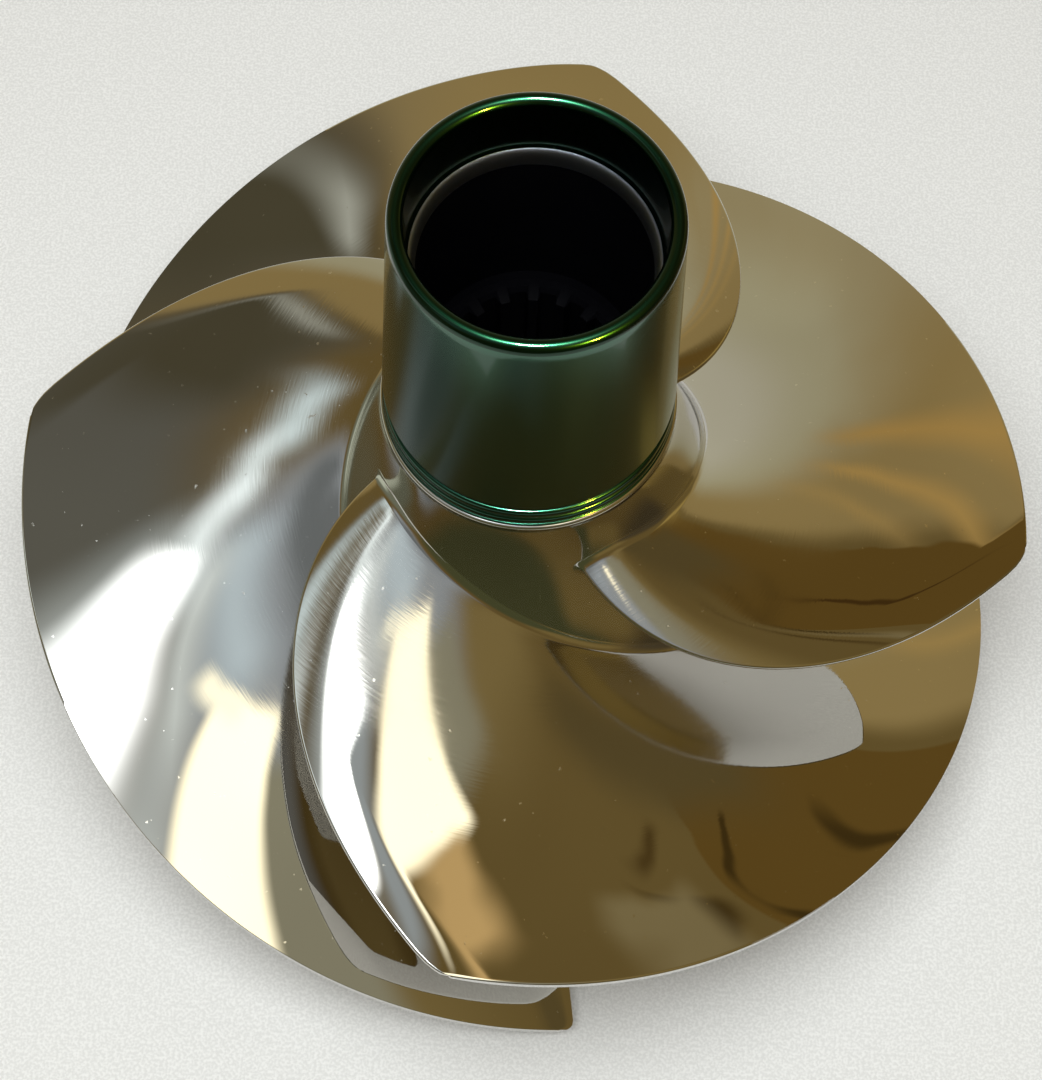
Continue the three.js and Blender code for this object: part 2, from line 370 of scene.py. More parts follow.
def section_walk():
    shares = (np.arange(CHORD_STEPS + 1) / CHORD_STEPS) ** CROWDING
    turns = np.pi * np.arange(1, NOSE_STEPS) / NOSE_STEPS
    upper = [(share, 1.0, 0.0) for share in shares[::-1]]
    nose = [(0.0, np.cos(turn), -np.sin(turn)) for turn in turns]
    lower = [(share, -1.0, 0.0) for share in shares]
    tail = [(1.0, -np.cos(turn), np.sin(turn)) for turn in turns]
    return np.array(upper + nose + lower + tail).T


WALK = section_walk()
print("stops round the section:", WALK.shape[1])

# %% [markdown]
# A stop's place on the skin is its place on the middle surface, moved out by half the blade's
# thickness there. The way out is found from two short steps over the middle surface, because
# a formula for its slope would be long and would gain nothing.

# %% Find points on the skin
PROBE = 0.003


def skin(span, shrink=1.0):
    """The skin's points at one span share for each stop of the walk, and the ways out there."""
    chord, side, past = WALK
    span = span + 0 * chord
    pull = corner_pull(span)
    chord = lerp(pull, 1 - pull, chord)
    middle = blade_point(chord, span)
    along = unit(blade_point(chord + PROBE, span) - blade_point(chord - PROBE, span))
    across = blade_point(chord, span + PROBE) - blade_point(chord, span - PROBE)
    normal = unit(np.cross(across, along))
    out = side[:, None] * normal + past[:, None] * along
    return middle + (shrink * half_thickness(chord, span))[:, None] * out, out


print("the skin is", np.ptp(skin(0.5)[0][:, 2]).round(1), "mm tall half way up the span")

# %% [markdown]
# The root is found stop by stop, by halving again and again the stretch of span in which the
# skin must meet the hub. The fillet is a cubic curve that leaves the blade along its own
# direction and lands almost flat on the hub, so that only a fine line is left where it ends,
# as on the real casting, where the hub was turned after the fillet had been polished. Two rows
# under the hub's surface go before the fillet, so that no gap can open at its foot.

# %% Find where the skin meets the hub
FIRST_SPANS = (-0.12, 0.25)
HALVINGS = 22
SLOPE_STEP = 0.05


def off_axis(points):
    return np.hypot(points[:, 0], points[:, 1])


def meeting_span():
    low, high = (np.full(WALK.shape[1], span) for span in FIRST_SPANS)
    for _ in range(HALVINGS):
        middle = (low + high) / 2
        points, _ = skin(middle)
        outside = off_axis(points) > hub_radius(points[:, 2])
        low, high = np.where(outside, low, middle), np.where(outside, middle, high)
    return (low + high) / 2


def onto_hub(points, sink=0.0):
    """Moves points straight in or out to the hub's surface, or to a depth under it."""
    scale = (hub_radius(points[:, 2]) - sink) / off_axis(points)
    return points * np.stack([scale, scale, np.ones_like(scale)], axis=-1)


def hub_normal(points):
    height = points[:, 2]
    slope = (hub_radius(height + SLOPE_STEP) - hub_radius(height - SLOPE_STEP)) / (2 * SLOPE_STEP)
    level = points[:, :2] / off_axis(points)[:, None]
    return unit(np.concatenate([level, -slope[:, None]], axis=-1))


def flattened(vectors, normals):
    """Takes out of each vector what points along its normal."""
    return vectors - normals * np.sum(vectors * normals, axis=-1, keepdims=True)


root_span = meeting_span()
print("the skin meets the hub between span shares", root_span.min().round(4), "and",
      root_span.max().round(4))

# %% Fillet the root
FILLET = 1.1
FILLET_HANDLE = 0.55
LANDING = 0.10
FILLET_ROWS = 9
UP_STEP = 0.01
SINK = 0.35
SINK_BACK = 0.25
INNER_SINK = 1.2

corner, out = skin(root_span)
rate = np.linalg.norm(skin(root_span + UP_STEP)[0] - corner, axis=-1) / UP_STEP
fillet_span = root_span + FILLET / rate
top, _ = skin(fillet_span)
up = unit(skin(fillet_span + UP_STEP)[0] - top)
landing = onto_hub(corner + FILLET * unit(flattened(out, hub_normal(corner))))
inward = unit(flattened(corner - landing, hub_normal(landing))) + LANDING * hub_normal(landing)
reach = FILLET_HANDLE * FILLET
handles = [landing, landing + reach * unit(inward), top - reach * up, top]
inner = skin(root_span, shrink=0.0)[0]
rows = [onto_hub(inner, INNER_SINK), onto_hub(landing - SINK_BACK * inward, SINK)]
for t in np.linspace(0, 1, FILLET_ROWS + 1):
    weights = ((1 - t) ** 3, 3 * t * (1 - t) ** 2, 3 * t * t * (1 - t), t ** 3)
    rows.append(sum(weight * handle for weight, handle in zip(weights, handles)))
print("the fillet starts", np.round((fillet_span * SPAN_LENGTH).mean(), 2), "mm up the span")

# %% [markdown]
# Above the fillet plain rows run up the span. The tip was turned to run inside the pump bore,
# so the last rows are held to the turned radius: they round over a fraction of a millimetre
# and close across the thin tip face. Two close rows before them keep the shading of the wide
# blade out of the narrow rounding.

# %% Run rows up to the tip
SPAN_ROWS = 46
CLOSE_SHARES = (0.99, 0.9955, 1.0)
TIP_EASE = 0.25
TIP_ROWS = 4


def held_to_bore(points, inset):
    scale = (TIP_RADIUS - inset) / off_axis(points)
    return points * np.stack([scale, scale, np.ones_like(scale)], axis=-1)


last_span = 1 - TIP_EASE / SPAN_LENGTH
shares = [*(np.arange(1, SPAN_ROWS) / SPAN_ROWS), *CLOSE_SHARES]
for share in shares:
    rows.append(skin(lerp(fillet_span, last_span, share))[0])
for turn in np.linspace(0, np.pi / 2, TIP_ROWS + 1)[1:]:
    eased = 1 - (1 - np.cos(turn)) * TIP_EASE / (TIP_THICKNESS / 2)
    rows.append(held_to_bore(skin(1.0, eased)[0], TIP_EASE * (1 - np.sin(turn))))
for shrink in (0.5, 0.0):
    rows.append(held_to_bore(skin(1.0, shrink)[0], 0.0))
print("the skin has", len(rows), "rows of", len(rows[0]), "points")

# %% [markdown]
# Now the grid is rolled up. Its vertices know their column and row from where they lie in the
# flat grid, and each is moved to its stop on the skin. The first and last columns fall on each
# other and are merged, and so are the two sides in the last row, which closes the skin across
# the tip. The first row is left open. It lies in the hub's wall, where nothing of it shows.

# %% Roll a flat grid round the blade
def blade_shape(turn):
    columns, last_row = len(rows[0]), len(rows) - 1
    shape = bmesh.new()
    bmesh.ops.create_grid(shape, x_segments=columns, y_segments=last_row, size=0.5)
    for vert in shape.verts:
        column = round((vert.co.x + 0.5) * columns) % columns
        row = round((vert.co.y + 0.5) * last_row)
        vert.co = Vector(rows[row][column])
    about_shaft = Matrix.Rotation(turn, 3, "Z")
    bmesh.ops.rotate(shape, cent=(0, 0, 0), matrix=about_shaft, verts=shape.verts)
    return shape


BLADE_CREASE = math.radians(70)
blades = []
for index in range(BLADE_COUNT):
    turn = FIRST_CORNER + index * 2 * math.pi / BLADE_COUNT
    blades.append(finish_piece(blade_shape(turn), f"blade_casting_{index + 1}", BLADE_CREASE))

# %% [markdown]
# ## The sleeve
# The sleeve is a thin turned tube of anodised aluminium, a little tapered, with a rolled rim
# and a foot of three fine beads under a shallow groove. It is spun from one section like the
# hub, and the rim and the beads are stepped finely, because that is where the highlights sit.

# %% Spin the sleeve
SLEEVE_TOP_RADIUS = 18.5
SLEEVE_FOOT_RADIUS = 20.8
SLEEVE_BORE = 16.4
SLEEVE_FOOT_Z = COLLAR_Z + 0.06
BEADS = [(0.02, 0.5), (0.6, 1.6), (2.3, 1.7)]
BEAD_DEPTH = 0.4
BEAD_POINTS = 15
GROOVE_START = 4.3
GROOVE_BEVEL = 0.4
FOOT_BAND = 5.6
FOOT_BEVEL = 0.4
BODY_POINTS = 26
BORE_POINTS = 12
RIM_START = 1.4
RIM_HEIGHT = 1.1
RIM_STEPS = 14
SLEEVE_SEGMENTS = 192


def sleeve_outer(z):
    share = (z - SLEEVE_FOOT_Z) / (RIM_Z - SLEEVE_FOOT_Z)
    return lerp(SLEEVE_FOOT_RADIUS, SLEEVE_TOP_RADIUS, share)


def bead(start, width):
    """A half-round bead on the outside, as radius and height pairs going up."""
    line = []
    for turn in np.linspace(0, math.pi, BEAD_POINTS):
        z = SLEEVE_FOOT_Z + start + width * (1 - math.cos(turn)) / 2
        line.append((sleeve_outer(z) - BEAD_DEPTH * (1 - math.sin(turn)), z))
    return line


def sleeve_section():
    foot, body, top = SLEEVE_FOOT_Z, SLEEVE_FOOT_Z + FOOT_BAND, RIM_Z - RIM_START
    line = [pair for place in BEADS for pair in bead(*place)]
    line += [(sleeve_outer(z) - BEAD_DEPTH, z) for z in (foot + GROOVE_START, body - GROOVE_BEVEL)]
    line += [(sleeve_outer(z), z) for z in np.linspace(body, top, BODY_POINTS)]
    middle, half = (SLEEVE_TOP_RADIUS + SLEEVE_BORE) / 2, (SLEEVE_TOP_RADIUS - SLEEVE_BORE) / 2
    for step in range(1, RIM_STEPS):
        turn = math.pi * step / RIM_STEPS
        line.append((middle + half * math.cos(turn), RIM_Z - RIM_HEIGHT * (1 - math.sin(turn))))
    line += [(SLEEVE_BORE, z) for z in np.linspace(top, foot + FOOT_BEVEL, BORE_POINTS)]
    return line + [(SLEEVE_BORE + FOOT_BEVEL, foot)]


sleeve = finish_piece(spun(sleeve_section(), SLEEVE_SEGMENTS), "sleeve")

# %% [markdown]
# ## Shader bench
# A material is a graph of nodes, and dozens of them can be wired by hand in the editor. Here
# they are written as arithmetic, which is shorter and easier to read. A Wire holds a node's
# output and adds a Math node when it is added, subtracted, multiplied or divided. A Bench
# makes every other node of one material, its settings first and then its sockets.

# %% Write shader maths as expressions
class Wire:
    def __init__(self, bench, socket):
        self.bench, self.socket = bench, socket

    def __add__(self, other):
        return self.bench.math("ADD", self, other)

    def __radd__(self, other):
        return self.bench.math("ADD", other, self)

    def __sub__(self, other):
        return self.bench.math("SUBTRACT", self, other)

    def __rsub__(self, other):
        return self.bench.math("SUBTRACT", other, self)

    def __mul__(self, other):
        return self.bench.math("MULTIPLY", self, other)

    def __rmul__(self, other):
        return self.bench.math("MULTIPLY", other, self)

    def __truediv__(self, other):
        return self.bench.math("DIVIDE", self, other)

    def __rtruediv__(self, other):
        return self.bench.math("DIVIDE", other, self)


# %% Make the other nodes
class Bench:
    def __init__(self, tree):
        self.tree = tree
        tree.nodes.clear()

    def node(self, kind, settings=None, values=None):
        made = self.tree.nodes.new(kind)
        for name, value in (settings or {}).items():
            setattr(made, name, value)
        for name, value in (values or {}).items():
            self.plug(made.inputs[name], value)
        return made

    def plug(self, socket, value):
        if isinstance(value, Wire):
            self.tree.links.new(value.socket, socket)
        else:
            socket.default_value = value

    def out(self, made, name=0):
        return Wire(self, made.outputs[name])

    def math(self, operation, *values):
        return self.out(self.node("ShaderNodeMath", {"operation": operation},
                                  dict(enumerate(values))))

    def ramp(self, wire, low, high):
        """A smooth step from 0 at low to 1 at high."""
        return self.out(self.node("ShaderNodeMapRange", {"interpolation_type": "SMOOTHSTEP"},
                                  {"Value": wire, "From Min": low, "From Max": high}))

    def mix(self, share, first, second):
        """Mixes two colours, or two wires that carry colours."""
        first, second = (c if isinstance(c, Wire) else (*c, 1) for c in (first, second))
        made = self.node("ShaderNodeMix", {"data_type": "RGBA"}, {0: share, 6: first, 7: second})
        return self.out(made, 2)

    def noise(self, place, scale, detail=2.0, rough=0.5):
        return self.out(self.node("ShaderNodeTexNoise", {}, {
            "Vector": place, "Scale": scale, "Detail": detail, "Roughness": rough}))

    def object_place(self):
        return self.out(self.node("ShaderNodeTexCoord"), "Object")

    def join(self, x, y, z):
        return self.out(self.node("ShaderNodeCombineXYZ", {}, {"X": x, "Y": y, "Z": z}))

    def split(self, place):
        parts = self.node("ShaderNodeSeparateXYZ", {}, {"Vector": place})
        return [self.out(parts, axis) for axis in "XYZ"]

    def round_axis(self, place):
        """Splits a place into its distance from the shaft, its angle round it and its height."""
        x, y, z = self.split(place)
        return self.math("SQRT", x * x + y * y), self.math("ARCTAN2", y, x), z


# %% Make a material from a finish
def paint(name, fill):
    """Makes a material. fill gets its bench and returns the values of the main shader."""
    material = bpy.data.materials.new(name)
    material.use_nodes = True
    bench = Bench(material.node_tree)
    shader = bench.node("ShaderNodeBsdfPrincipled", {}, fill(bench))
    bench.node("ShaderNodeOutputMaterial", {}, {"Surface": bench.out(shader)})
    print("material", name, "has", len(bench.tree.nodes), "nodes")
    return material


# %% [markdown]
# ## Polished stainless steel
# The casting was buffed by hand, so the blades are a near mirror. Towards their roots, where a
# wheel hardly reaches, the metal stays a little satin, with fine lines that run round the
# shaft, and small casting pits are left all over. A picture of scratches would need an
# unwrapped skin. Noise in the shaft's own coordinates, radius, angle and height, needs none
# and follows the polishing. One slow wave in the bump bends the reflections a little, as on
# metal that no machine has planed.

# %% Polish the steel
MIRROR_RADIUS = 0.064
SATIN_RADIUS = 0.034
LINES_PER_METRE = 3200
LINES_PER_RADIAN = 9
LINES_UP = 500
BUMP_METRES = 0.00006


def steel_finish(bench):
    place = bench.object_place()
    radius, angle, height = bench.round_axis(place)
    cloud = bench.noise(place, scale=24, detail=1)
    near_root = bench.ramp(radius, MIRROR_RADIUS, SATIN_RADIUS)
    satin = bench.ramp(near_root + cloud, 0.75, 1.15)
    lines = bench.join(radius * LINES_PER_METRE, angle * LINES_PER_RADIAN, height * LINES_UP)
    hairs = bench.noise(lines, scale=1.0, detail=1, rough=0.6)
    pits = bench.ramp(bench.noise(place, scale=900, detail=1, rough=0.6), 0.74, 0.80)
    tone = bench.mix(bench.ramp(cloud, 0.35, 0.7), (0.60, 0.585, 0.555), (0.66, 0.65, 0.62))
    relief = bench.noise(place, scale=55, detail=0) + hairs * 0.08 * near_root
    bump = bench.node("ShaderNodeBump", {}, {
        "Strength": 1.0, "Distance": BUMP_METRES, "Height": relief})
    return {"Base Color": bench.mix(pits * 0.5, tone, (0.9, 0.88, 0.84)), "Metallic": 1.0,
            "Roughness": 0.015 + 0.05 * satin + 0.06 * hairs * satin + 0.2 * pits,
            "Normal": bench.out(bump)}


steel = paint("polished_steel", steel_finish)


# %% [markdown]
# ## Painted shade in the bore and a painted sheen on the neck
# Down inside the sleeve the hub's neck ends in a lip with a soft grey shine, and below the lip
# the splined bore lies in deep shade. The bore could be left to its own shadow, but the light of
# the surroundings still finds its way in, so the shade is painted: a near-black finish with
# hardly any gloss. The lip's grey is lighter than the bore's black so that its soft shine shows,
# which is painted highlight on top of what its metal mirrors.

# %% Paint shade into the bore and a sheen onto the neck
def painted_shade_and_sheen(name, dark, light, metallic, gloss, roughness):
    def fill(bench):
        cloud = bench.noise(bench.object_place(), scale=90, detail=3)
        return {"Base Color": bench.mix(cloud, dark, light), "Metallic": metallic,
                "Roughness": roughness + 0.1 * cloud, "Specular IOR Level": gloss}
    return paint(name, fill)


# Painted shade: this near-black stands in for the shadow deep down in the bore.
bore_shade_black = painted_shade_and_sheen("bore_painted_shade", dark=(0.001, 0.001, 0.0015), light=(0.003, 0.003, 0.004),
                         metallic=0.0, gloss=0.04, roughness=0.4)
# Painted highlight: the lip's grey is lighter than the bore's black so that its soft shine shows,
# over the real reflection of its metal.
lip_sheen_grey = painted_shade_and_sheen("neck_painted_sheen", dark=(0.21, 0.22, 0.28), light=(0.26, 0.27, 0.34),
                       metallic=1.0, gloss=0.5, roughness=0.45)


# %% [markdown]
# ## Green anodised aluminium
# Anodising leaves a clear coloured film on the metal. The colour is in the metal's reflection
# and the film adds a little gloss of its own, so this is a coloured metal under a thin coat.
# The tube was turned, and turning marks stretch each highlight along it, which is what the
# anisotropic setting does. The rolled rim and the beads at the foot are a little smoother and
# don't show the marks. Their green is darker than the tube's, which is painted shade, so the
# sleeve has three finishes of one kind.

# %% Anodise the sleeve
def green_anodised(name, dark, light, roughness, turned=0.0):
    def fill(bench):
        cloud = bench.noise(bench.object_place(), scale=30, detail=2)
        return {"Base Color": bench.mix(cloud, dark, light), "Metallic": 1.0,
                "Roughness": roughness + 0.04 * cloud, "Anisotropic": turned,
                "Coat Weight": 0.4, "Coat Roughness": 0.06}
    return paint(name, fill)


tube_green = green_anodised("green_anodised", dark=(0.034, 0.100, 0.062),
                            light=(0.043, 0.130, 0.083), roughness=0.22, turned=0.75)
# Painted shade: the rim's green is darker than the tube's to match the dark look of the rolled
# rim.
rim_green_painted_shade = green_anodised("green_rim_painted_shade", dark=(0.004, 0.026, 0.012),
                           light=(0.005, 0.034, 0.016), roughness=0.20)
# Painted shade: the beads' green is darker than the tube's, to tone down how bright they look.
foot_green_painted_shade = green_anodised("green_foot_painted_shade", dark=(0.010, 0.060, 0.036),
                            light=(0.015, 0.078, 0.047), roughness=0.18)

# %% [markdown]
# ## Ride on the frame
# Each new piece stands for one node of the imported model, gets its material, and rides on the
# one rigid body that there is, because nothing on an impeller moves against the rest.

# %% Put the pieces on the frame
stand_ins = [(hub, "hub", "polished_steel", steel),
             (sleeve, "hub_sleeve", "green_sleeve", tube_green)]
for number, blade in enumerate(blades, start=1):
    stand_ins.append((blade, f"blade_{number}", "polished_steel", steel))
for piece, node, slot_name, material in stand_ins:
    piece.data.materials.append(material)
    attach(piece, "root")
    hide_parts(node)
    print(piece.name, "stands for", node)

# %% [markdown]
# Inside the hub and on the sleeve the material changes at a line of the turned section: painted
# shade in the bore, a painted sheen on the neck's lip, and darker greens of painted shade on the
# sleeve's rim and foot. So there a face gets its material from its height and its distance from
# the shaft.

# %% Give faces their finish, painted shade and painted sheen by place
RIM_BAND = 1.5
BARE_END = 0.5


# Hub faces: steel (0), painted shade of the bore (1) and painted sheen of the neck's lip (2).
def hub_finish_shade_sheen(middle):
    inside = math.hypot(middle.x, middle.y) < (NECK_RADIUS - HAIR) * MM
    if not inside or middle.z < (BOSS_Z + BARE_END) * MM:
        return 0
    return 2 if middle.z > (NECK_TOP - LIP_DEPTH) * MM else 1


# Sleeve faces: tube green (0), then darker greens of painted shade on the rim (1) and the foot
# (2).
def sleeve_finish_shade(middle):
    if middle.z > (RIM_Z - RIM_BAND) * MM:
        return 1
    return 2 if middle.z < (SLEEVE_FOOT_Z + FOOT_BAND) * MM else 0


for piece, extra, finish_at in [(hub, (bore_shade_black, lip_sheen_grey), hub_finish_shade_sheen),
                                (sleeve, (rim_green_painted_shade, foot_green_painted_shade), sleeve_finish_shade)]:
    for material in extra:
        piece.data.materials.append(material)
    for face in piece.data.polygons:
        face.material_index = finish_at(face.center)
    counts = np.bincount([face.material_index for face in piece.data.polygons])
    print(piece.name, "faces by finish:", counts.tolist())

# %% [markdown]
# ## The floor
# The impeller stands on a pale sheet of fine-grained paint. The sheet shows twice, around the
# impeller and mirrored in the undersides of the blades, where its edges cut the pale
# reflection off, so it is a sheet of a real size. A much wider backdrop carries the pale
# ground on past the edges of every view and curves up into a wall. Only the camera sees the
# backdrop, because it would wash out the rest of the surroundings in the metal. It glows a
# little where the lamp over the sheet has faded, and the renderer is told not to treat that
# glow as a lamp, which would take time and light nothing.

# %% Mix the floor's paint
GLOW_START = 0.22
GLOW_FULL = 1.0


def floor_paint(name, glow=0.0):
    def fill(bench):
        place = bench.object_place()
        speckle = bench.ramp(bench.noise(place, scale=2200, detail=1), 0.35, 0.7)
        finish = {"Base Color": bench.mix(speckle, (0.72, 0.72, 0.70), (0.84, 0.84, 0.82)),
                  "Roughness": 0.7}
        if glow:
            far = bench.ramp(bench.round_axis(place)[0], GLOW_START, GLOW_FULL)
            finish["Emission Color"] = bench.mix(far, (0, 0, 0), (glow, glow, 0.97 * glow))
            finish["Emission Strength"] = 1.0
        return finish
    return paint(name, fill)


# %% Lay the pale sheet
def stage_piece(shape, name, material):
    mesh = bpy.data.meshes.new(name)
    shape.to_mesh(mesh)
    shape.free()
    mesh.shade_smooth()
    mesh.materials.append(material)
    piece = bpy.data.objects.new(name, mesh)
    bpy.context.scene.collection.objects.link(piece)
    print(name, "measures", [round(side, 3) for side in piece.dimensions], "m")
    return piece


SHEET_LOW = Vector((-0.20, -0.20, 0.0))
SHEET_HIGH = Vector((0.125, 0.30, 0.0))
SHEET_Z = -0.00005
sheet_shape = bmesh.new()
bmesh.ops.create_grid(sheet_shape, x_segments=1, y_segments=1, size=0.5)
bmesh.ops.scale(sheet_shape, vec=SHEET_HIGH - SHEET_LOW, verts=sheet_shape.verts)
bmesh.ops.translate(sheet_shape, vec=(SHEET_HIGH + SHEET_LOW) / 2 + Vector((0, 0, SHEET_Z)),
                    verts=sheet_shape.verts)
stage_piece(sheet_shape, "floor", floor_paint("floor_paint"))

# %% Spin the backdrop
BACKDROP_RADIUS = 3.0
BACKDROP_HEIGHT = 3.0
BACKDROP_Z = 2 * SHEET_Z
BACKDROP_SEGMENTS = 96
COVE_RADIUS = 1.0
COVE_POINTS = 13
profile = [(0.0, BACKDROP_Z)]
for turn in np.linspace(0, math.pi / 2, COVE_POINTS):
    profile.append((BACKDROP_RADIUS - COVE_RADIUS * (1 - math.sin(turn)),
                    BACKDROP_Z + COVE_RADIUS * (1 - math.cos(turn))))
profile.append((BACKDROP_RADIUS, BACKDROP_HEIGHT))
backdrop_shape = spun(profile, BACKDROP_SEGMENTS, closed=False)
bmesh.ops.remove_doubles(backdrop_shape, verts=backdrop_shape.verts, dist=1e-6)
bmesh.ops.recalc_face_normals(backdrop_shape, faces=backdrop_shape.faces)
backdrop_paint = floor_paint("backdrop_paint", glow=0.5)
backdrop_paint.cycles.emission_sampling = "NONE"
backdrop = stage_piece(backdrop_shape, "backdrop", backdrop_paint)
backdrop.visible_diffuse = False
backdrop.visible_glossy = False
backdrop.visible_shadow = False

# %% [markdown]
# ## Lamps
# One soft box almost overhead lights the sheet. The metal doesn't mirror it, because every
# bright thing in the reflections is painted in the surroundings below. Two small lamps light
# the sleeve alone, which Blender calls light linking: a white one for the two white spots on
# the rim, and a warm one low on the right for the yellow-green glints on the rim and the foot.

# %% Hang the soft box
AIM = Vector((0, 0, 0.04))


def direction(azimuth, zenith):
    a, z = math.radians(azimuth), math.radians(zenith)
    return Vector((math.sin(z) * math.cos(a), math.sin(z) * math.sin(a), math.cos(z)))


def soft_box(name, azimuth, zenith, side, strength, colour, distance):
    """A square area light that looks at the impeller from a direction in degrees."""
    data = bpy.data.lights.new(name, "AREA")
    data.size = side
    data.energy = strength * side ** 2 * math.pi
    data.color = colour
    box = bpy.data.objects.new(name, data)
    way = direction(azimuth, zenith)
    box.location = AIM + way * distance
    box.rotation_mode = "QUATERNION"
    box.rotation_quaternion = way.to_track_quat("Z", "Y")
    bpy.context.scene.collection.objects.link(box)
    print(name, "gives", round(data.energy, 2), "W")
    return box


floor_box = soft_box("floor_box", azimuth=-110, zenith=10, side=0.5, strength=6.1,
                     colour=(0.945, 0.985, 1.0), distance=0.65)
floor_box.visible_glossy = False


# %% Point two small lamps at the sleeve
SMALL_LAMP_DISTANCE = 2.0


def sleeve_lamp(name, azimuth, zenith, side, strength, colour):
    lamp = soft_box(name, azimuth, zenith, side, strength, colour, SMALL_LAMP_DISTANCE)
    lit = bpy.data.collections.new(name + "_lights")
    lit.objects.link(sleeve)
    lamp.light_linking.receiver_collection = lit
    lamp.visible_camera = False


sleeve_lamp("ceiling_lamp", azimuth=-91, zenith=11, side=0.26, strength=800, colour=(1, 1, 1))
sleeve_lamp("warm_lamp", azimuth=-50, zenith=60, side=0.15, strength=2200, colour=(1, 0.38, 0.03))

# %% [markdown]
# ## The surroundings
# A mirror-bright casting shows little but its surroundings, so they are painted as a round map
# seen from above: the middle is straight overhead, the rim is the horizon, and the distance
# from the middle is the angle from overhead. Soft panels are laid over the map one by one: a
# warm room, a dark wall on the left, a pale wall behind, a cream window and a white strip lamp.
# Modelled walls and lamps would look the same and take far longer to render. The renderer
# would also test points of this map as lamps at every bounce. A mirror finds its bright parts
# without that, so it is switched off, which halves the time. The matt floor can't show the
# panels, so light for it comes from one plain colour, which saves another quarter.

# %% Start the map
NOT_ZERO = 1e-4


class Sky:
    """Paints the light that comes from each direction."""

    def __init__(self, base):
        self.world = bpy.data.worlds.new("surrounds")
        self.world.use_nodes = True
        self.bench = Bench(self.world.node_tree)
        way = self.bench.out(self.bench.node("ShaderNodeTexCoord"), "Generated")
        x, y, z = self.bench.split(way)
        overhead = self.bench.math("ARCCOSINE", z) / (math.pi / 2)
        level = self.bench.math("SQRT", x * x + y * y) + NOT_ZERO
        self.place = self.bench.join(x * overhead / level, y * overhead / level, 1.0)
        self.wobble = self.bench.noise(way, scale=7, detail=2) - 0.5
        self.colour = base

    def band(self, normal, middle, half_width, edge, wave):
        """Is 1 in a straight band of the map and 0 outside, with a soft edge between."""
        x, y = normal
        made = self.bench.node("ShaderNodeVectorMath", {"operation": "DOT_PRODUCT"}, {
            0: self.place, 1: (x, y, -x * middle[0] - y * middle[1])})
        apart = self.bench.out(made, "Value")
        if wave:
            apart = self.bench.math("MULTIPLY_ADD", self.wobble, wave, apart)
        return self.bench.ramp(self.bench.math("ABSOLUTE", apart), half_width + edge,
                               half_width - edge)

    def panel(self, middle, size, edges, colour, turn=0.0, wave=0.0):
        """Lays a soft-edged panel over what the map holds so far."""
        cosine, sine = math.cos(math.radians(turn)), math.sin(math.radians(turn))
        along = self.band((cosine, sine), middle, size[0], edges[0], wave)
        across = self.band((-sine, cosine), middle, size[1], edges[1], wave)
        self.colour = self.bench.mix(along * across, self.colour, colour)

    def finish(self, ambient):
        """Shows the map in the metal and gives the matt floor one plain light, ambient."""
        sharp, plain = (self.bench.out(self.bench.node("ShaderNodeBackground", {}, {"Color": c}))
                        for c in (self.colour, (*ambient, 1)))
        matt = self.bench.out(self.bench.node("ShaderNodeLightPath"), "Is Diffuse Ray")
        both = self.bench.node("ShaderNodeMixShader", {}, {0: matt, 1: sharp, 2: plain})
        self.bench.node("ShaderNodeOutputWorld", {}, {"Surface": self.bench.out(both)})
        self.world.cycles.sampling_method = "NONE"
        bpy.context.scene.world = self.world
        print("the surroundings have", len(self.bench.tree.nodes), "nodes")


# %% [markdown]
# Each row below is a panel: its middle on the map, its half size and its soft edge, both
# along it and across it, its colour, its turn in degrees and how far its edges waver. One
# right angle down from overhead is 1 on the map, x runs right and y away from the camera.

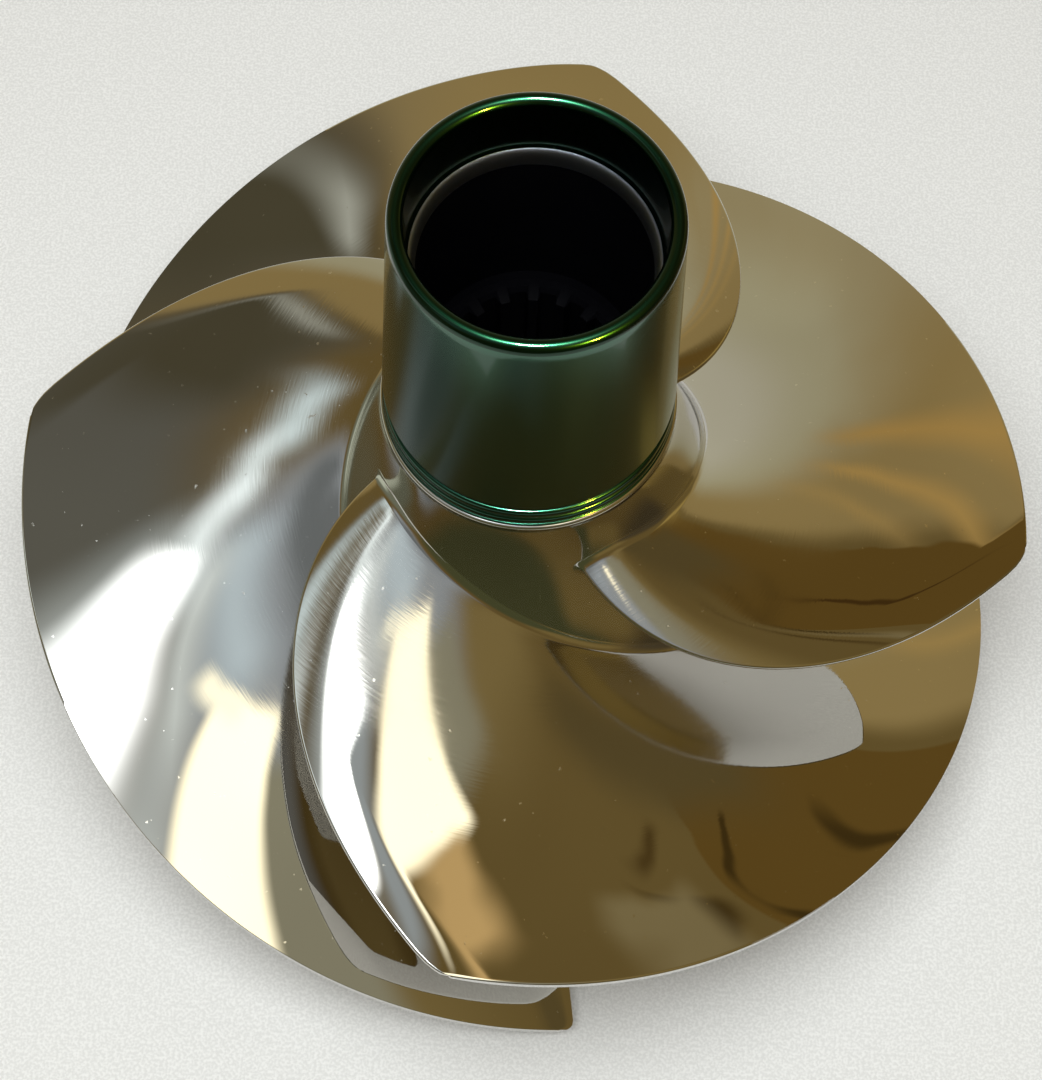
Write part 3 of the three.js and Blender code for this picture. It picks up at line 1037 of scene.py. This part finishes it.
# %% Lay the panels
PANELS = [
    # Low walls, then the pale wall behind and its darker openings
    ((0, -1.05), (1.3, 0.32), (0.10, 0.10), (0.085, 0.088, 0.036), 0, 0.05),
    ((0.72, -0.62), (0.28, 0.10), (0.08, 0.08), (0.24, 0.17, 0.055), 42, 0.03),
    ((-1.0, 0.1), (0.20, 0.8), (0.12, 0.12), (0.20, 0.21, 0.15)),
    ((0.45, -0.20), (0.18, 0.14), (0.10, 0.10), (0.27, 0.195, 0.07)),
    ((1.15, -0.25), (0.18, 0.40), (0.10, 0.10), (0.08, 0.06, 0.03)),
    ((-1.20, 0.35), (0.20, 0.40), (0.06, 0.10), (0.62, 0.66, 0.53)),
    ((-0.02, 0.72), (0.9, 0.27), (0.05, 0.03), (0.35, 0.25, 0.095), 12, 0.04),
    ((0, 0.95), (0.9, 0.25), (0.10, 0.09), (0.47, 0.43, 0.27), 6, 0.05),
    ((-0.05, 1.12), (0.9, 0.25), (0.10, 0.10), (0.56, 0.53, 0.40)),
    ((0.19, 0.60), (0.014, 0.13), (0.02, 0.07), (0.50, 0.31, 0.09), -12, 0.02),
    ((0.26, 0.58), (0.010, 0.13), (0.015, 0.07), (0.52, 0.33, 0.10), -12, 0.02),
    ((0.33, 0.60), (0.010, 0.10), (0.02, 0.07), (0.45, 0.30, 0.10), -12, 0.02),
    ((0.44, 0.365), (0.25, 0.135), (0.03, 0.003), (0.145, 0.083, 0.017), 6, 0.07),
    ((0.55, 0.20), (0.06, 0.2), (0.04, 0.06), (0.12, 0.085, 0.03), 0, 0.05),
    ((0.76, 0.42), (0.10, 0.16), (0.08, 0.05), (0.42, 0.29, 0.08), 20, 0.05),
    # Thin dark lines and a grey patch over the brown
    ((0.423, 0.26), (0.125, 0.003), (0.03, 0.002), (0.06, 0.035, 0.008), 73, 0.02),
    ((0.453, 0.26), (0.037, 0.003), (0.01, 0.002), (0.06, 0.035, 0.008), 43, 0.02),
    ((0.36, 0.375), (0.09, 0.003), (0.02, 0.002), (0.07, 0.035, 0.008), -30, 0.06),
    ((0.428, 0.150), (0.035, 0.006), (0.015, 0.006), (0.09, 0.055, 0.015), 40, 0.04),
    ((0.372, 0.145), (0.05, 0.012), (0.02, 0.008), (0.26, 0.20, 0.09), 55, 0.03),
    # The dark wall on the left
    ((-0.26, 0.10), (0.14, 0.27), (0.08, 0.08), (0.14, 0.135, 0.11), 35),
    ((-0.38, 0.20), (0.10, 0.14), (0.06, 0.06), (0.09, 0.078, 0.045), 25),
    ((-0.44, 0.30), (0.06, 0.014), (0.04, 0.025), (0.55, 0.56, 0.48), 35),
    # Grey-blue daylight in front
    ((-0.16, -0.37), (0.46, 0.16), (0.10, 0.10), (0.38, 0.41, 0.435), 6),
    ((-0.16, -0.47), (0.34, 0.07), (0.08, 0.04), (0.20, 0.215, 0.22)),
    ((-0.26, -0.375), (0.20, 0.045), (0.06, 0.03), (0.185, 0.20, 0.205), -24),
    ((-0.08, -0.28), (0.15, 0.045), (0.06, 0.05), (0.70, 0.82, 0.88), -4),
    ((-0.06, -0.215), (0.12, 0.012), (0.05, 0.035), (1.0, 1.08, 1.05), 12),
    # The cream window with its frame and its golden foot
    ((0.25, -0.17), (0.10, 0.07), (0.03, 0.03), (0.34, 0.32, 0.22), 70),
    ((0.15, -0.145), (0.14, 0.064), (0.012, 0.012), (2.3, 2.1, 1.5), 70, 0.015),
    ((0.05, -0.245), (0.05, 0.014), (0.02, 0.012), (1.8, 1.7, 1.3), -14, 0.03),
    ((0.215, 0.03), (0.05, 0.03), (0.02, 0.02), (0.75, 0.5, 0.2), 70, 0.05),
    # The white strip lamp, brightest near the camera
    ((-0.51, 0.05), (0.02, 0.06), (0.05, 0.05), (0.50, 0.58, 0.58), -14),
    ((-0.46, -0.06), (0.11, 0.025), (0.06, 0.05), (1.05, 1.25, 1.3), -60),
    ((-0.34, -0.145), (0.09, 0.016), (0.06, 0.04), (1.5, 1.7, 1.75), -40),
    ((-0.21, -0.18), (0.10, 0.014), (0.05, 0.04), (1.9, 2.1, 2.15), -6),
    ((0.055, -0.09), (0.085, 0.028), (0.03, 0.02), (0.42, 0.46, 0.47), 64),
    ((-0.12, -0.13), (0.10, 0.03), (0.10, 0.06), (0.95, 1.05, 1.05), 20),
    ((-0.09, -0.145), (0.08, 0.028), (0.03, 0.035), (6.0, 6.2, 6.3), 10),
    ((-0.005, -0.12), (0.03, 0.03), (0.02, 0.02), (11, 11.4, 11.4)),
]

sky = Sky(base=(0.17, 0.115, 0.036))
for row in PANELS:
    sky.panel(*row)
sky.finish(ambient=(0.265, 0.235, 0.20))
bpy.context.scene.view_settings.view_transform = "Standard"
